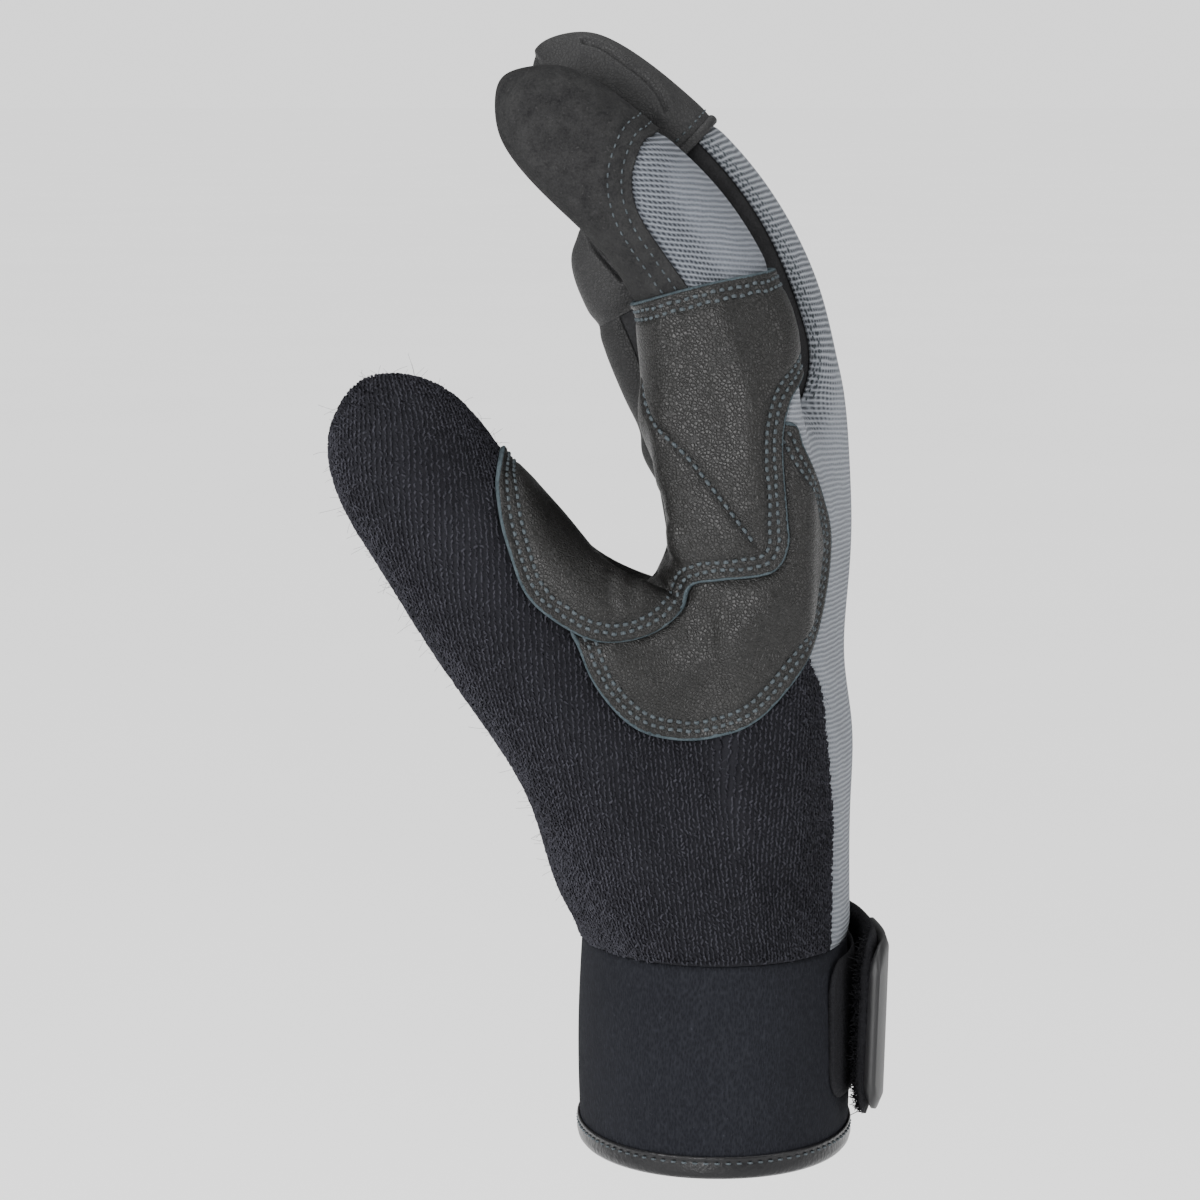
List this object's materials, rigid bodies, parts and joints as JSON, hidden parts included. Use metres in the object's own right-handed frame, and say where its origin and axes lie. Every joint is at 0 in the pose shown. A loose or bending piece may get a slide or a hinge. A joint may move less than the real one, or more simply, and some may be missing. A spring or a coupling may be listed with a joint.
{
  "type": "rescue glove",
  "caption": "Right-hand rescue glove with terry thumb, ribbed knit back, leather patches and fingertips, and a strap-closed stretch cuff.",
  "frame": {"origin": "centre of the cuff's mouth, where the wrist goes in", "axes": "+Z from the cuff to the fingertips, +X out of the back of the hand, -Y out of the thumb side"},
  "size_m": [0.1193, 0.0896, 0.243],
  "materials": {
    "stretch": "smooth stretch jersey, matte",
    "binding": "glossy folded binding",
    "hook": "hook-and-loop pile",
    "rubber": "moulded, satin",
    "terry": "looped terry",
    "knit": "ribbed stretch knit",
    "palm_leather": "soft, matte grain",
    "nubuck": "brushed nubuck, matte",
    "grain_leather": "pebbled grain, semi-gloss",
    "suede": "suede, matte"
  },
  "bodies": {
    "root": {"cuff": "stretch", "cuff_binding": "binding", "loop_patch": "hook", "closure_strap": "hook", "strap_tab": "rubber", "terry_panel": "terry", "thumb_inside": "terry", "back_knit": "knit", "palm_leather": "palm_leather", "index_cap": "nubuck", "index_window": "knit", "index_overlay": "grain_leather", "crescent_patch": "grain_leather", "fourchette_index": "suede", "fourchette_middle": "suede", "fourchette_ring": "suede", "middle_cap": "grain_leather", "ring_cap": "grain_leather", "little_cap": "grain_leather"}
  },
  "joints": []
}
